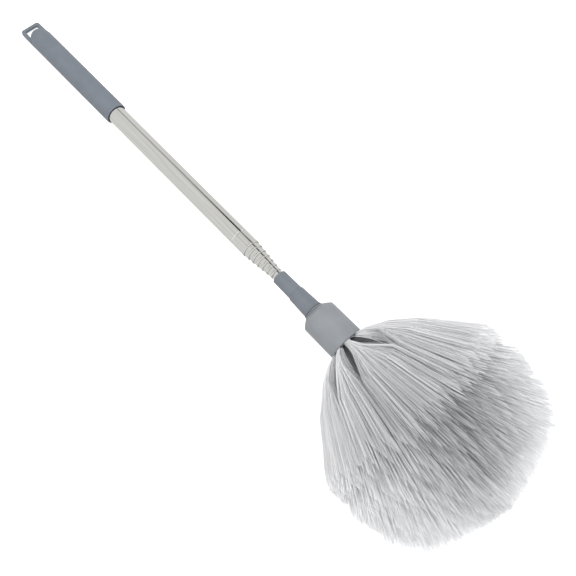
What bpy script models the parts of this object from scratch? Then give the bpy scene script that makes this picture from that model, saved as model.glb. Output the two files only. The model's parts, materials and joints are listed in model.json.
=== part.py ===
# An extendable duster. Eight round steel tubes slide in one another, a moulded grip with a
# hanging loop holds the widest one, and a bristle head is screwed to the tip of the thinnest.
# Pieces are turned about the pole's own axis, their local Z, which runs from the loop's tip.
# The whole duster then lies on the floor, on the rear of its grip and on its lowest bristles.

import math
import random

import bmesh
import bpy
from mathutils import Matrix, Vector

MM = 0.001
SMOOTH_ANGLE = math.radians(35)
WELD_DISTANCE = 0.001 * MM
ROUND_SHARE = 1 - math.cos(math.pi / 4)  # how far into a round edge its middle point lies

# Fits
SEAT_GAP = 0.3 * MM  # between pieces that are pressed, glued or screwed together
BUSH_GAP = 0.05 * MM  # between a friction bush and each of the two tubes it fits
LIP_GAP = 0.1 * MM  # between a tube's rolled lip and the tube that slides through it
RING_GAP = 0.15 * MM  # between a tube's rolled ring and the tube that slides through it

# Steel tubes
TUBE_COUNT = 8
OUTER_TUBE_DIAMETER = 22.0 * MM
OUTER_TUBE_LENGTH = 399.1 * MM
TUBE_WALL = 0.3 * MM
TUBE_SPACE = 0.4 * MM  # from one tube's bore to the next tube
MOUTH_STEP = 6.9 * MM  # from one tube's mouth to the next
LIP_LENGTH = 1.2 * MM
LIP_CHAMFER = 0.6 * MM
RING_SETBACK = 20.2 * MM  # from a tube's mouth back to the ring that stops the next bush
RING_WIDTH = 1.4 * MM
BUSH_LENGTH = 30.0 * MM
TUBE_SIDES = 24

# Grip and hanging loop
LOOP_REACH = 12.5 * MM  # from the loop's tip to the end of the grip's dome
GRIP_LENGTH = 167.8 * MM
GRIP_DIAMETER = 26.5 * MM
GRIP_MOUTH_ROUND = 0.9 * MM
DOME_LENGTH = 17.5 * MM
DOME_STEPS = 6
DOME_WALL = 11.0 * MM  # from the end of the dome to the bottom of the bore
LOOP_TIP_WIDTH = 25.6 * MM
LOOP_THICKNESS = 4.6 * MM
LOOP_END_BAR = 4.0 * MM
LOOP_SIDE_BAR = 4.4 * MM
LOOP_CORNER = 4.0 * MM
LOOP_INNER_CORNER = 1.5 * MM
LOOP_EDGE = 0.8 * MM
LOOP_DROP = 1.5 * MM  # the loop lies a little off the pole's axis
LOOP_ROLL = math.radians(-8.7)
GRIP_SIDES = 32

# Plug that closes the outer tube and stops the others
PLUG_LENGTH = 12.0 * MM
PLUG_FLANGE = 1.5 * MM

# Connector on the thinnest tube
CONNECTOR_SETOFF = 3.9 * MM  # from the last mouth to the connector
CONNECTOR_LENGTH = 27.4 * MM
CONNECTOR_REAR_DIAMETER = 17.1 * MM
CONNECTOR_FRONT_DIAMETER = 17.7 * MM
CONNECTOR_ROUND = 0.9 * MM
CONNECTOR_BORE_DEPTH = 20.0 * MM
SPIGOT_LENGTH = 17.0 * MM
SPIGOT_DIAMETER = 13.0 * MM
HEAD_SIDES = 32

# Head socket, a cone with a collar that bears on the cap
SOCKET_LENGTH = 31.5 * MM
SOCKET_REAR_DIAMETER = 19.4 * MM
SOCKET_FRONT_DIAMETER = 21.7 * MM
SOCKET_BORE_DEPTH = 24.0 * MM
COLLAR_DIAMETER = 28.4 * MM
COLLAR_THICKNESS = 3.6 * MM
BOSS_DIAMETER = 17.0 * MM
BOSS_LENGTH = 2.6 * MM

# Cap round the roots of the bristles
CAP_LENGTH = 44.5 * MM
CAP_SHOULDER_DIAMETER = 32.0 * MM
CAP_REAR_DIAMETER = 41.2 * MM
CAP_FLARE = 0.6 * MM  # how much wider the cap is at its mouth
CAP_CHAMFER = 4.5 * MM
CAP_WALL = 1.5 * MM
CAP_FLOOR = 2.6 * MM
CAP_SIDES = 36

# Screw that clamps the socket, the cap and the bristle block together
SCREW_DIAMETER = 3.8 * MM
SCREW_LENGTH = 30.0 * MM
SCREW_HEAD_DIAMETER = 7.4 * MM
SCREW_FACE_DIAMETER = 5.2 * MM
SCREW_HEAD_HEIGHT = 2.4 * MM
SCREW_POINT = 3.0 * MM
DRIVER_RECESS = 1.3 * MM
WASHER_DIAMETER = 9.4 * MM
WASHER_THICKNESS = 0.8 * MM
SCREW_SIDES = 16

# Backing slices in the cap's mouth, each with its own bristles
SLICE_DEPTH = 12.0 * MM
SLICE_PROUD = 0.5 * MM  # how far the slices stand out of the cap
SLICE_WIDTH = 3.8 * MM
CORE_HOLE_RADIUS = 2.4 * MM

# Bristles. Each strand stands for a clump of filaments.
ROOT_INSET = 0.16 * MM
STRAND_MIDDLE_WIDTH = 1.7 * MM
STRAND_TIP_WIDTH = 2.8 * MM
STRAND_FILL = 0.8  # the most of its own cell that a strand takes up
MIDDLE_STATION = 0.35
FLAT_DEPTH = 0.5 * MM  # cut off the lowest tips, on which the head rests
REST_ANGLE_STEP = 1e-9  # how exactly the angle of rest is found, in radians
RAGGED_SEED = 7

# The tips of each tier's inmost strands, from the middle of the slices' front
CORE_REACH = 234.5 * MM
INNER_REACH = 226.5 * MM
MIDDLE_REACH = 195.5 * MM
OUTER_REACH = 164.0 * MM

# Each tier's lean at its roots and the fan of its tips are angles off the axis, in degrees,
# first for its inmost roots and then for its outmost ones, and its bend is the share of the way
# that a strand keeps to its lean. Its shoulder is the share of its reach that its outmost strands
# keep. Its bundles are turned by a count of columns, which puts the gaps between the outer ones
# where they show from above.
TIERS = (
    dict(
        name="bristle_core", rows=2, bundles=6, columns=3, turn=0, gather=1.0, ragged=0.035,
        lean=(3.0, 24.0), fan=(2.2, 22.8), bend=0.23, reach=CORE_REACH, shoulder=0.965,
    ),
    dict(
        name="bristle_ring_inner", rows=1, bundles=8, columns=4, turn=0, gather=0.95, ragged=0.04,
        lean=(26.0, 38.0), fan=(22.4, 33.2), bend=0.23, reach=INNER_REACH, shoulder=0.88,
    ),
    dict(
        name="bristle_ring_middle", rows=1, bundles=9, columns=5, turn=3, gather=0.88, ragged=0.045,
        lean=(42.0, 54.0), fan=(34.6, 42.4), bend=0.25, reach=MIDDLE_REACH, shoulder=0.89,
    ),
    dict(
        name="bristle_ring_outer", rows=1, bundles=9, columns=8, turn=5, gather=0.78, ragged=0.05,
        lean=(60.0, 84.0), fan=(44.8, 53.0), bend=0.3, reach=OUTER_REACH, shoulder=0.9,
    ),
)

# Finishes: sRGB colour, roughness, metallic
STEEL = ((200, 200, 195), 0.24, 1.0)
ZINC = ((178, 180, 184), 0.35, 1.0)
GRIP_PLASTIC = ((130, 137, 145), 0.55, 0.0)
SOCKET_PLASTIC = ((132, 138, 146), 0.5, 0.0)
CAP_PLASTIC = ((163, 168, 173), 0.45, 0.0)
WHITE_NYLON = ((222, 222, 216), 0.4, 0.0)
BLOCK_PLASTIC = ((150, 152, 156), 0.6, 0.0)
BRISTLE = ((208, 210, 214), 0.5, 0.0)


# Places along the pole, measured from the loop's tip
BORE_BOTTOM = LOOP_REACH + DOME_WALL
PLUG_REAR = BORE_BOTTOM + SEAT_GAP
OUTER_TUBE_REAR = PLUG_REAR + PLUG_FLANGE + SEAT_GAP
PLUG_FRONT = OUTER_TUBE_REAR + PLUG_LENGTH
INNER_TUBE_REAR = PLUG_FRONT + SEAT_GAP
OUTER_MOUTH = OUTER_TUBE_REAR + OUTER_TUBE_LENGTH
GRIP_MOUTH = LOOP_REACH + GRIP_LENGTH
LAST_MOUTH = OUTER_MOUTH + (TUBE_COUNT - 2) * MOUTH_STEP
CONNECTOR_REAR = LAST_MOUTH + CONNECTOR_SETOFF
SOCKET_REAR = CONNECTOR_REAR + CONNECTOR_LENGTH + SEAT_GAP
CAP_REAR = SOCKET_REAR + SOCKET_LENGTH + SEAT_GAP
WASHER_SEAT = SOCKET_REAR + SOCKET_BORE_DEPTH - SEAT_GAP
BLOCK_REAR = CAP_REAR + CAP_FLOOR + SEAT_GAP
SLICE_FRONT = CAP_REAR + CAP_LENGTH + SLICE_PROUD
SLICE_REAR = SLICE_FRONT - SLICE_DEPTH


def tube_radius(number):
    return OUTER_TUBE_DIAMETER / 2 - (number - 1) * (TUBE_WALL + TUBE_SPACE)


def mouth_place(number):
    return OUTER_MOUTH + (number - 1) * MOUTH_STEP


def cap_bore_radius():
    return CAP_REAR_DIAMETER / 2 - CAP_WALL


# Blender stores colours as linear light, and the finishes above are sRGB.
def linear(channel):
    share = channel / 255
    return share / 12.92 if share <= 0.04045 else ((share + 0.055) / 1.055) ** 2.4


def coat(piece, finish):
    colour, roughness, metallic = finish
    material = bpy.data.materials.new(piece.name + "_finish")
    material.use_nodes = True
    shader = material.node_tree.nodes["Principled BSDF"]
    shader.inputs["Base Color"].default_value = (*(linear(c) for c in colour), 1.0)
    shader.inputs["Roughness"].default_value = roughness
    shader.inputs["Metallic"].default_value = metallic
    piece.data.materials.append(material)


# Puts a mesh in the scene with its origin on the pole's axis, at its own seat.
def place(name, bm, seat, parent, finish):
    mesh = bpy.data.meshes.new(name)
    bmesh.ops.recalc_face_normals(bm, faces=bm.faces)
    bm.to_mesh(mesh)
    bm.free()
    mesh.shade_smooth()
    mesh.set_sharp_from_angle(angle=SMOOTH_ANGLE)
    piece = bpy.data.objects.new(name, mesh)
    bpy.context.collection.objects.link(piece)
    piece["seat"] = seat
    piece.parent = parent
    piece.location.z = seat - parent["seat"]
    coat(piece, finish)
    return piece


# Spins an outline of (radius, height) points about Z. One that starts and ends on the axis
# makes a solid, and any other is closed into a ring.
def turned_mesh(outline, sides):
    bm = bmesh.new()
    points = [bm.verts.new((radius, 0, height)) for radius, height in outline]
    edges = [bm.edges.new(pair) for pair in zip(points, points[1:])]
    if outline[0][0] > 0 or outline[-1][0] > 0:
        edges.append(bm.edges.new((points[-1], points[0])))
    bmesh.ops.spin(
        bm, geom=points + edges, cent=(0, 0, 0), axis=(0, 0, 1), dvec=(0, 0, 0),
        angle=math.tau, steps=sides, use_merge=True,
    )
    bmesh.ops.remove_doubles(bm, verts=bm.verts, dist=WELD_DISTANCE)
    return bm


def turned(name, outline, sides, seat, parent, finish):
    return place(name, turned_mesh(outline, sides), seat, parent, finish)


# Helpers shape other pieces and are no pieces themselves.
def helper(name, bm, seat, parent):
    piece = place(name, bm, seat, parent, GRIP_PLASTIC)
    piece.hide_render = True
    piece.display_type = "WIRE"
    return piece


def boolean(piece, operation, other):
    modifier = piece.modifiers.new(other.name, "BOOLEAN")
    modifier.operation = operation
    modifier.solver = "EXACT"
    modifier.object = other


def arc(centre, radius, start, end, steps):
    for step in range(steps + 1):
        angle = math.radians(start + (end - start) * step / steps)
        yield centre[0] + radius * math.cos(angle), centre[1] + radius * math.sin(angle)


# A flat plate of the outline's (width, height) points, centred on a place along X.
def plate_mesh(outline, thickness, centre):
    bm = bmesh.new()
    points = [bm.verts.new((centre - thickness / 2, width, height)) for width, height in outline]
    face = bm.faces.new(points)
    raised = bmesh.ops.extrude_face_region(bm, geom=[face])
    verts = [item for item in raised["geom"] if isinstance(item, bmesh.types.BMVert)]
    bmesh.ops.translate(bm, verts=verts, vec=(thickness, 0, 0))
    return bm


# The loop is a flat plate with a window. The plate runs on into the dome of the grip, and its
# root stays just inside the grip's round surface.
def loop_plate(parent):
    half = LOOP_TIP_WIDTH / 2
    root = GRIP_DIAMETER / 2 - LOOP_EDGE / 4
    dome_end = LOOP_REACH + DOME_LENGTH
    outline = [(root, dome_end), (-root, dome_end)]
    outline += arc((LOOP_CORNER - half, LOOP_CORNER), LOOP_CORNER, 180, 270, 4)
    outline += arc((half - LOOP_CORNER, LOOP_CORNER), LOOP_CORNER, 270, 360, 4)
    plate = helper("loop_plate", plate_mesh(outline, LOOP_THICKNESS, LOOP_DROP), 0, parent)
    bevel = plate.modifiers.new("rounded_edges", "BEVEL")
    bevel.width = LOOP_EDGE
    bevel.segments = 2
    bevel.limit_method = "ANGLE"
    bevel.angle_limit = math.radians(60)
    side = half - LOOP_SIDE_BAR
    corner = LOOP_INNER_CORNER
    depth = LOOP_REACH + DOME_LENGTH / 2
    window = [(side, depth), (-side, depth)]
    window += arc((corner - side, LOOP_END_BAR + corner), corner, 180, 270, 2)
    window += arc((side - corner, LOOP_END_BAR + corner), corner, 270, 360, 2)
    cutter = helper("loop_window", plate_mesh(window, LOOP_THICKNESS * 3, LOOP_DROP), 0, parent)
    boolean(plate, "DIFFERENCE", cutter)
    return plate


def grip_handle(parent):
    radius = GRIP_DIAMETER / 2
    shoulder = LOOP_REACH + DOME_LENGTH
    outline = [
        (0, GRIP_MOUTH),
        (radius - GRIP_MOUTH_ROUND, GRIP_MOUTH),
        (radius - GRIP_MOUTH_ROUND * ROUND_SHARE, GRIP_MOUTH - GRIP_MOUTH_ROUND * ROUND_SHARE),
        (radius, GRIP_MOUTH - GRIP_MOUTH_ROUND),
    ]
    for step in range(DOME_STEPS + 1):
        angle = math.pi / 2 * step / DOME_STEPS
        outline.append((radius * math.cos(angle), shoulder - DOME_LENGTH * math.sin(angle)))
    outline[-1] = (0, LOOP_REACH)
    grip = turned("grip_handle", outline, GRIP_SIDES, 0, parent, GRIP_PLASTIC)
    plate = loop_plate(grip)
    plate.rotation_euler.z = LOOP_ROLL
    bpy.data.objects["loop_window"].rotation_euler.z = LOOP_ROLL
    boolean(grip, "UNION", plate)
    bore_radius = OUTER_TUBE_DIAMETER / 2 + SEAT_GAP
    past_mouth = GRIP_MOUTH + GRIP_DIAMETER
    bore = [(0, past_mouth), (bore_radius, past_mouth), (bore_radius, BORE_BOTTOM), (0, BORE_BOTTOM)]
    boolean(grip, "DIFFERENCE", helper("grip_bore", turned_mesh(bore, GRIP_SIDES), 0, grip))
    return grip


# A tube with its mouth rolled in to a lip, and a rolled ring that stops the next tube's bush.
def tube_outline(number, rear):
    outside = tube_radius(number)
    inside = outside - TUBE_WALL
    mouth = mouth_place(number) - rear
    lip = tube_radius(number + 1) + LIP_GAP
    depth = TUBE_SPACE - RING_GAP
    ring = mouth - RING_SETBACK
    return [
        (lip, mouth),
        (outside - LIP_CHAMFER / 3, mouth - LIP_CHAMFER / 3),
        (outside, mouth - LIP_CHAMFER),
        (outside, ring + RING_WIDTH / 2),
        (outside - depth, ring),
        (outside, ring - RING_WIDTH / 2),
        (outside, 0),
        (inside, 0),
        (inside, ring - RING_WIDTH / 2),
        (inside - depth, ring),
        (inside, ring + RING_WIDTH / 2),
        (inside, mouth - LIP_LENGTH - TUBE_WALL),
        (lip, mouth - LIP_LENGTH),
    ]


def last_tube_outline():
    outside = tube_radius(TUBE_COUNT)
    inside = outside - TUBE_WALL
    front = CONNECTOR_REAR + CONNECTOR_BORE_DEPTH - SEAT_GAP - INNER_TUBE_REAR
    return [(inside, front), (outside, front), (outside, 0), (inside, 0)]


# The bush on the tail of a tube. The last one lets its tube turn, so its bore clears the
# corners of a tube that is modelled with flat sides.
def bush_outline(number):
    inside = tube_radius(number) + BUSH_GAP
    if number == TUBE_COUNT:
        inside = tube_radius(number) / math.cos(math.pi / TUBE_SIDES) + BUSH_GAP
    outside = tube_radius(number - 1) - TUBE_WALL - BUSH_GAP
    return [(inside, BUSH_LENGTH), (outside, BUSH_LENGTH), (outside, 0), (inside, 0)]


def pole(parent):
    section = turned(
        "outer_tube", tube_outline(1, OUTER_TUBE_REAR), TUBE_SIDES, OUTER_TUBE_REAR, parent, STEEL
    )
    for number in range(2, TUBE_COUNT + 1):
        last = number == TUBE_COUNT
        outline = last_tube_outline() if last else tube_outline(number, INNER_TUBE_REAR)
        bush = turned(
            f"friction_bush_{number}", bush_outline(number), TUBE_SIDES, INNER_TUBE_REAR, section,
            WHITE_NYLON,
        )
        section = turned(f"tube_{number}", outline, TUBE_SIDES, INNER_TUBE_REAR, bush, STEEL)
    return section


def rear_stop_plug(parent):
    bore = OUTER_TUBE_DIAMETER / 2 - TUBE_WALL - SEAT_GAP
    flange = OUTER_TUBE_DIAMETER / 2
    length = PLUG_FRONT - PLUG_REAR
    outline = [
        (0, length),
        (bore, length),
        (bore, PLUG_FLANGE),
        (flange, PLUG_FLANGE),
        (flange, 0),
        (0, 0),
    ]
    return turned("rear_stop_plug", outline, TUBE_SIDES, PLUG_REAR, parent, WHITE_NYLON)


def pole_connector(parent):
    rear = CONNECTOR_REAR_DIAMETER / 2
    bore = tube_radius(TUBE_COUNT) + SEAT_GAP
    spigot = SPIGOT_DIAMETER / 2
    front = CONNECTOR_LENGTH + SPIGOT_LENGTH
    outline = [
        (0, front),
        (spigot - CONNECTOR_ROUND, front),
        (spigot, front - CONNECTOR_ROUND),
        (spigot, CONNECTOR_LENGTH),
        (CONNECTOR_FRONT_DIAMETER / 2, CONNECTOR_LENGTH),
        (rear, CONNECTOR_ROUND),
        (rear - CONNECTOR_ROUND * ROUND_SHARE, CONNECTOR_ROUND * ROUND_SHARE),
        (rear - CONNECTOR_ROUND, 0),
        (bore, 0),
        (bore, CONNECTOR_BORE_DEPTH),
        (0, CONNECTOR_BORE_DEPTH),
    ]
    return turned("pole_connector", outline, HEAD_SIDES, CONNECTOR_REAR, parent, SOCKET_PLASTIC)


def head_socket(parent):
    bore = SPIGOT_DIAMETER / 2 + SEAT_GAP
    hole = SCREW_DIAMETER / 2 + SEAT_GAP
    collar = COLLAR_DIAMETER / 2
    cone_end = SOCKET_LENGTH - COLLAR_THICKNESS
    boss = BOSS_DIAMETER / 2
    front = SOCKET_LENGTH + BOSS_LENGTH
    outline = [
        (hole, front),
        (boss, front),
        (boss, SOCKET_LENGTH),
        (collar, SOCKET_LENGTH),
        (collar, SOCKET_LENGTH - COLLAR_THICKNESS / 3),
        (SOCKET_FRONT_DIAMETER / 2, cone_end),
        (SOCKET_REAR_DIAMETER / 2, 0),
        (bore, 0),
        (bore, SOCKET_BORE_DEPTH),
        (hole, SOCKET_BORE_DEPTH),
    ]
    return turned("head_socket", outline, HEAD_SIDES, SOCKET_REAR, parent, SOCKET_PLASTIC)


def bristle_cap(parent):
    hole = BOSS_DIAMETER / 2 + SEAT_GAP
    bore = cap_bore_radius()
    mouth = (CAP_REAR_DIAMETER + CAP_FLARE) / 2
    inner_shoulder = CAP_SHOULDER_DIAMETER / 2
    outline = [
        (bore, CAP_LENGTH),
        (mouth - CAP_WALL / 4, CAP_LENGTH),
        (mouth, CAP_LENGTH - CAP_WALL / 4),
        (CAP_REAR_DIAMETER / 2, CAP_CHAMFER),
        (CAP_SHOULDER_DIAMETER / 2, 0),
        (hole, 0),
        (hole, CAP_FLOOR),
        (inner_shoulder, CAP_FLOOR),
        (bore, CAP_FLOOR + CAP_CHAMFER),
    ]
    return turned("bristle_cap", outline, CAP_SIDES, CAP_REAR, parent, CAP_PLASTIC)


def bristle_block(parent):
    hole = SCREW_DIAMETER / 2 + SEAT_GAP
    outside = cap_bore_radius() - SEAT_GAP
    length = SLICE_REAR - SEAT_GAP - BLOCK_REAR
    shoulder = CAP_SHOULDER_DIAMETER / 2 - SEAT_GAP
    hole_depth = WASHER_SEAT + SCREW_LENGTH - BLOCK_REAR
    outline = [
        (0, length),
        (outside, length),
        (outside, CAP_CHAMFER + SEAT_GAP),
        (shoulder, 0),
        (hole, 0),
        (hole, hole_depth),
        (0, hole_depth),
    ]
    return turned("bristle_block", outline, CAP_SIDES, BLOCK_REAR, parent, BLOCK_PLASTIC)


def block_washer(parent):
    hole = SCREW_DIAMETER / 2 + SEAT_GAP
    outside = WASHER_DIAMETER / 2
    outline = [(hole, 0), (outside, 0), (outside, -WASHER_THICKNESS), (hole, -WASHER_THICKNESS)]
    return turned("block_washer", outline, SCREW_SIDES, WASHER_SEAT, parent, ZINC)


# A pan head screw. Its head is at the rear, where a driver reaches it through the socket.
def block_screw(parent):
    seat = WASHER_SEAT - WASHER_THICKNESS - SEAT_GAP
    shank = SCREW_DIAMETER / 2
    head = SCREW_HEAD_DIAMETER / 2
    length = SCREW_LENGTH
    outline = [
        (0, length),
        (shank / 3, length),
        (shank, length - SCREW_POINT),
        (shank, 0),
        (head, 0),
        (head, -SCREW_HEAD_HEIGHT / 2),
        (SCREW_FACE_DIAMETER / 2, -SCREW_HEAD_HEIGHT),
        (DRIVER_RECESS, -SCREW_HEAD_HEIGHT),
        (0, DRIVER_RECESS - SCREW_HEAD_HEIGHT),
    ]
    return turned("block_screw", outline, SCREW_SIDES, seat, parent, ZINC)


def mixed(first, second, share):
    return first + (second - first) * share


# Where the filament that is rooted at a radius and an angle lies, a share of the way along it.
# Filaments of one tier never meet, because both the lean and the tips fan out with the radius.
def along_filament(tier, radius, angle, middle_angle, share, cut):
    across = (radius - tier["inside"]) / (tier["outside"] - tier["inside"])
    lean = math.radians(mixed(*tier["lean"], across))
    fan = math.radians(mixed(*tier["fan"], across))
    root = Vector((0, radius))
    reach = tier["reach"] * mixed(1.0, tier["shoulder"], across)
    tip = Vector((math.cos(fan), math.sin(fan))) * reach
    bend = root + Vector((math.cos(lean), math.sin(lean))) * (tip - root).length * tier["bend"]
    tip = bend.lerp(tip, 1 - cut)
    ahead, out = root * (1 - share) ** 2 + bend * 2 * share * (1 - share) + tip * share**2
    gather = mixed(1.0, tier["gather"], 4 * share * (1 - share)) if share < 1 else 1.0
    spread = middle_angle + (angle - middle_angle) * gather
    return Vector((out * math.cos(spread), out * math.sin(spread), ahead))


# Grows one strand from a face of the backing. Each of its three corners follows the filament
# that is rooted there, drawn in towards the middle so that the strand keeps its own width.
def grow_strand(bm, face, tier, cut):
    roots = [vert.co.copy() for vert in face.verts]
    centre = sum(roots, Vector()) / len(roots)
    centre_angle = math.atan2(centre.y, centre.x)
    sector = math.tau / tier["bundles"]
    first_middle = tier["phase"] + tier["turn"] * sector / tier["columns"]
    middle_angle = sector * round((centre_angle - first_middle) / sector) + first_middle
    for share, width in ((MIDDLE_STATION, STRAND_MIDDLE_WIDTH), (1.0, STRAND_TIP_WIDTH)):
        heart = along_filament(
            tier, centre.xy.length, centre_angle, middle_angle, share, cut
        )
        cell = heart.xy.length * sector / tier["columns"]
        scale = min(STRAND_FILL, width / cell)
        extruded = bmesh.ops.extrude_discrete_faces(bm, faces=[face])
        face = extruded["faces"][0]
        for vert, root in zip(face.verts, roots):
            turn = math.remainder(math.atan2(root.y, root.x) - centre_angle, math.tau)
            corner = along_filament(
                tier, root.xy.length, centre_angle + turn, middle_angle, share, cut
            )
            vert.co = heart + (corner - heart) * scale


# A ring of backing with its front face split into triangles, one for each strand. The
# bottom strands of a tier keep their full length, because the head rests on them, and the
# first column is turned so that two of them are equally low.
def bristle_tier(tier, parent, rng):
    columns = tier["bundles"] * tier["columns"]
    column = math.tau / columns
    tier["phase"] = column / 6
    front = [
        (mixed(tier["inside"], tier["outside"], row / tier["rows"]), 0)
        for row in range(tier["rows"] + 1)
    ]
    outline = front + [(tier["outside"], -SLICE_DEPTH), (tier["inside"], -SLICE_DEPTH)]
    bm = turned_mesh(outline, columns)
    offset = tier["phase"] + (column / 2 if tier["columns"] % 2 else 0)
    bmesh.ops.rotate(bm, verts=bm.verts, cent=(0, 0, 0), matrix=Matrix.Rotation(offset, 3, "Z"))
    tops = [face for face in bm.faces if all(abs(vert.co.z) < WELD_DISTANCE for vert in face.verts)]
    roots = bmesh.ops.triangulate(bm, faces=tops, quad_method="FIXED")["faces"]
    bmesh.ops.recalc_face_normals(bm, faces=bm.faces)
    roots = sorted(roots, key=lambda face: tuple(face.calc_center_median()))
    bmesh.ops.inset_individual(bm, faces=roots, thickness=ROOT_INSET, use_even_offset=True)
    for face in roots:
        centre = face.calc_center_median()
        cut = tier["ragged"] * rng.random()
        if abs(math.atan2(centre.y, centre.x)) < 2 * column:
            cut = 0
        grow_strand(bm, face, tier, cut)
    return place(tier["name"], bm, SLICE_FRONT, parent, BRISTLE)


# The tiers are rings round a core, worked out from the cap's bore inwards.
def bristles(parent):
    rng = random.Random(RAGGED_SEED)
    outside = cap_bore_radius() - SEAT_GAP
    pieces = []
    for tier in reversed(TIERS):
        core = tier["name"] == "bristle_core"
        inside = CORE_HOLE_RADIUS if core else outside - SLICE_WIDTH
        pieces.append(bristle_tier({**tier, "inside": inside, "outside": outside}, parent, rng))
        outside = inside - SEAT_GAP
    return pieces


# A piece's corners in the scene, as its modifiers leave it.
def corners(piece):
    evaluated = piece.evaluated_get(bpy.context.evaluated_depsgraph_get())
    mesh = evaluated.to_mesh()
    points = [evaluated.matrix_world @ vert.co for vert in mesh.vertices]
    evaluated.to_mesh_clear()
    return points


def down(rise):
    return Vector((math.cos(rise), 0, -math.sin(rise)))


def depth(points, rise):
    return max(point.dot(down(rise)) for point in points)


# The pole rises by the angle at which the grip and the cut tips are equally low.
def rest_rise(grip_points, head_points):
    low, high = 0.0, math.pi / 4
    while high - low > REST_ANGLE_STEP:
        middle = (low + high) / 2
        if depth(head_points, middle) - FLAT_DEPTH > depth(grip_points, middle):
            low = middle
        else:
            high = middle
    return (low + high) / 2


# Cuts the lowest tips off flat along the floor.
def trim_flat(piece, floor_depth, rise):
    bm = bmesh.new()
    bm.from_mesh(piece.data)
    normal = down(rise)
    plane = normal * floor_depth - Vector((0, 0, piece["seat"]))
    geometry = list(bm.verts) + list(bm.edges) + list(bm.faces)
    cut = bmesh.ops.bisect_plane(bm, geom=geometry, plane_co=plane, plane_no=normal, clear_outer=True)
    edges = [item for item in cut["geom_cut"] if isinstance(item, bmesh.types.BMEdge)]
    bmesh.ops.holes_fill(bm, edges=edges, sides=0)
    bm.to_mesh(piece.data)
    bm.free()


# Lays the duster down and puts the middle of its box over the scene's origin.
def lay_down(root, grip, outer_bristles):
    bpy.context.view_layer.update()
    rise = rest_rise(corners(grip), corners(outer_bristles))
    floor_depth = depth(corners(outer_bristles), rise) - FLAT_DEPTH
    trim_flat(outer_bristles, floor_depth, rise)
    root.rotation_euler.y = math.pi / 2 - rise
    root.location.z = floor_depth
    bpy.context.view_layer.update()
    shown = [item for item in bpy.data.objects if item.type == "MESH" and not item.hide_render]
    points = [point for piece in shown for point in corners(piece)]
    for axis in (0, 1):
        values = [point[axis] for point in points]
        root.location[axis] -= (min(values) + max(values)) / 2
    bpy.context.view_layer.update()


def main():
    for item in list(bpy.data.objects):
        bpy.data.objects.remove(item, do_unlink=True)
    root = bpy.data.objects.new("pole_axis", None)
    bpy.context.collection.objects.link(root)
    root["seat"] = 0.0
    grip = grip_handle(root)
    rear_stop_plug(grip)
    last_tube = pole(grip)
    connector = pole_connector(last_tube)
    socket = head_socket(connector)
    block_washer(socket)
    block_screw(socket)
    cap = bristle_cap(socket)
    block = bristle_block(cap)
    tiers = bristles(block)
    lay_down(root, grip, tiers[0])


main()
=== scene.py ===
import json
import math

import bmesh
import bpy
import numpy as np
from mathutils import Matrix, Vector


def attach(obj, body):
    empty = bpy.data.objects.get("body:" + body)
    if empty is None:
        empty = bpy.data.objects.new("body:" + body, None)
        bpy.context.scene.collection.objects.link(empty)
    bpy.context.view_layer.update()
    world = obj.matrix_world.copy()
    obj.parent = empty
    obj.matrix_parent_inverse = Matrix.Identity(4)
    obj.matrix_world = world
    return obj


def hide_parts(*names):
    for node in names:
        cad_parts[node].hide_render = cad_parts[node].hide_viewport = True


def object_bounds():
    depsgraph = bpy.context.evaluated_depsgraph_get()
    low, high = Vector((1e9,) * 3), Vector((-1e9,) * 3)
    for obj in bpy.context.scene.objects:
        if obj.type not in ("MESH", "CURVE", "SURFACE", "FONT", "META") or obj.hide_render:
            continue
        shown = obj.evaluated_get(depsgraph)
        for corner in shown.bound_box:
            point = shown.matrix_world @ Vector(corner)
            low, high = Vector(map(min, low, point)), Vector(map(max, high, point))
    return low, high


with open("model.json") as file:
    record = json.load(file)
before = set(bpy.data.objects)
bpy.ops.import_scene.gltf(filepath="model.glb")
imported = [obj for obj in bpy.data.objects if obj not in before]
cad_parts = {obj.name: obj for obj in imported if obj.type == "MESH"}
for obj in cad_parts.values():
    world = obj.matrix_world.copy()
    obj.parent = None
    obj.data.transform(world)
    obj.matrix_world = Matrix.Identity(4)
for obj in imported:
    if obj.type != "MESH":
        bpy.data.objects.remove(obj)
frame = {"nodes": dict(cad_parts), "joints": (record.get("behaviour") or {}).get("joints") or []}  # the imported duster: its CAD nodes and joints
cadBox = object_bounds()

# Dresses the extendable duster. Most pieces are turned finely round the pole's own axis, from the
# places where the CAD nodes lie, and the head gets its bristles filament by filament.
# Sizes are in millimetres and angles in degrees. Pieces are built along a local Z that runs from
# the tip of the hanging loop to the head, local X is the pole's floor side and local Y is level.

mm = 0.001

# Pole frame, from the joint that the head turns on
turnJoint = next(joint for joint in frame["joints"] if joint["name"] == "head_turn")
poleAxis = Vector(turnJoint["axis"]).normalized()
floorSide = Vector((poleAxis.z, 0, -poleAxis.x)).normalized()
levelSide = poleAxis.cross(floorSide)
poleBasis = np.array([floorSide, levelSide, poleAxis])


def nodePoints(name):
    vertices = frame["nodes"][name].data.vertices
    points = np.empty(len(vertices) * 3)
    vertices.foreach_get("co", points)
    return points.reshape(-1, 3)


axisPoint = np.array(turnJoint["pos_m"])
loopTipPlace = ((nodePoints("grip_handle") - axisPoint) @ np.array(poleAxis)).min()
loopTip = axisPoint + loopTipPlace * np.array(poleAxis)
poleFrame = Matrix.Translation(Vector(loopTip)) @ Matrix(poleBasis.T.tolist()).to_4x4()


# Where a CAD node starts and ends along the pole, and its greatest radius
def nodeSize(name):
    local = (nodePoints(name) - loopTip) @ poleBasis.T / mm
    return local[:, 2].min(), local[:, 2].max(), np.hypot(local[:, 0], local[:, 1]).max()


def smoothStep(share):
    share = np.clip(share, 0, 1)
    return share * share * (3 - 2 * share)


def mixed(first, second, share):
    return first + (second - first) * share


# Materials

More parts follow.
